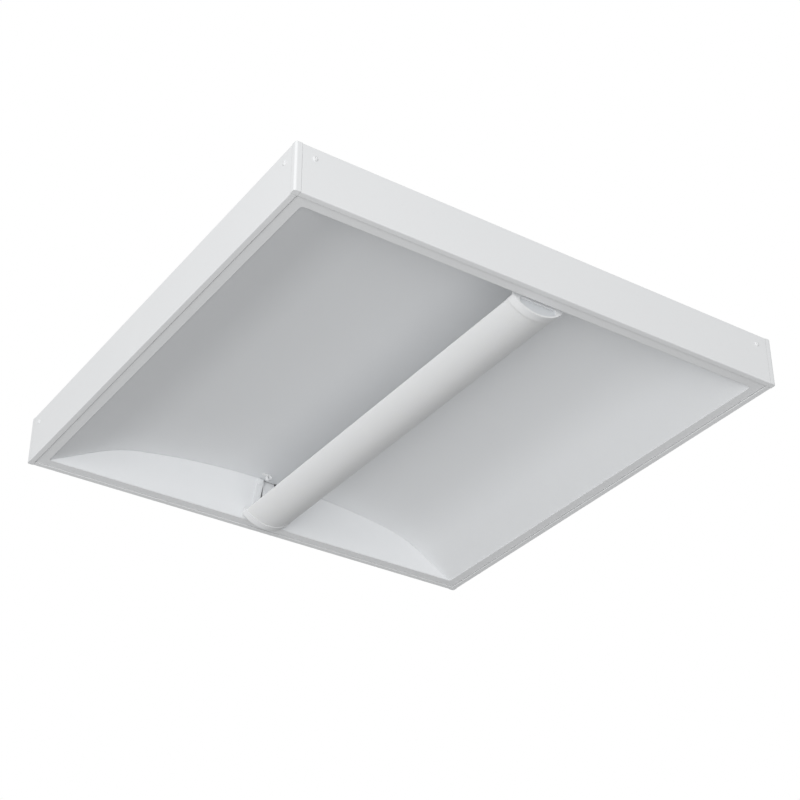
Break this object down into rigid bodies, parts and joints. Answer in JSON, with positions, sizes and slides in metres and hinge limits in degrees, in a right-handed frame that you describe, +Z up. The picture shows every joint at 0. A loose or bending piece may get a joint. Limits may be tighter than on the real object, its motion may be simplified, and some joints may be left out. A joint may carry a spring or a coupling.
{
  "type": "surface mount troffer",
  "caption": "Square ceiling light: shallow white steel frame, wide arched reflector and a hinged frosted centre lens that swings down.",
  "frame": {"origin": "middle of the housing's flat top, on the face that meets the ceiling", "axes": "+Z up into the ceiling, Y along the lens, X across it"},
  "size_m": [0.6226, 0.6226, 0.07],
  "materials": {
    "white_paint": "satin white powder coat",
    "reflector_white": "matt white reflector paint",
    "housing_paint": "white painted galvanised steel",
    "lens_acrylic": "frosted acrylic",
    "white_plastic": "moulded white plastic",
    "board_white": "white solder mask",
    "led_phosphor": "yellow phosphor in a clear package",
    "connector_plastic": "moulded nylon",
    "bushing_plastic": "black snap-in bushing",
    "driver_paint": "white painted driver case",
    "driver_board_resin": "green board",
    "driver_parts_plastic": "dark component cases",
    "tray_aluminium": "mill finish",
    "zinc_steel": "zinc plated",
    "screw_steel": "zinc plated"
  },
  "bodies": {
    "fixture": {"side_rail_near": "white_paint", "side_rail_right": "white_paint", "side_rail_far": "white_paint", "side_rail_left": "white_paint", "corner_post_near_left": "white_paint", "corner_post_near_right": "white_paint", "corner_post_far_right": "white_paint", "corner_post_far_left": "white_paint", "corner_screws": "white_paint", "rail_screws": "screw_steel", "housing_pan": "housing_paint", "entry_bushing": "bushing_plastic", "terminal_block": "connector_plastic", "terminal_screws": "screw_steel", "earth_screw": "screw_steel", "driver_base": "driver_paint", "driver_cover": "driver_paint", "driver_board": "driver_board_resin", "driver_parts": "driver_parts_plastic", "driver_screws": "screw_steel", "face_frame": "white_paint", "frame_clips": "zinc_steel", "reflector": "reflector_white", "end_plate_near": "reflector_white", "end_plate_far": "reflector_white", "hanger_bracket_near": "zinc_steel", "hanger_bracket_far": "zinc_steel", "bracket_screws": "screw_steel", "hanger_arm_near": "reflector_white", "hanger_arm_far": "reflector_white", "hanger_screws": "screw_steel", "tray_screws": "screw_steel", "hinge_pins": "screw_steel", "latch_rivets": "reflector_white", "lead_clip": "white_plastic", "led_tray": "tray_aluminium", "led_board_near": "board_white", "led_board_far": "board_white", "led_chips": "led_phosphor", "board_screws": "screw_steel", "board_connectors": "connector_plastic"},
    "lens_door": {"lens": "lens_acrylic", "end_cap_near": "white_plastic", "end_cap_far": "white_plastic"},
    "latch_near": {"latch_near": "reflector_white"},
    "latch_far": {"latch_far": "reflector_white"}
  },
  "joints": [
    {"name": "lens_door_swing", "type": "hinge", "parent": "fixture", "child": "lens_door", "pos_m": [0.0245, 0, -0.05047], "axis": [0, -1, 0], "range_deg": [0, 80]},
    {"name": "latch_near_turn", "type": "hinge", "parent": "fixture", "child": "latch_near", "pos_m": [-0.015, -0.27398, -0.011], "axis": [0, 0.9439, -0.3304], "range_deg": [0, 13]},
    {"name": "latch_far_turn", "type": "hinge", "parent": "fixture", "child": "latch_far", "pos_m": [-0.015, 0.27398, -0.011], "axis": [0, 0.9439, 0.3304], "range_deg": [0, 13]}
  ]
}
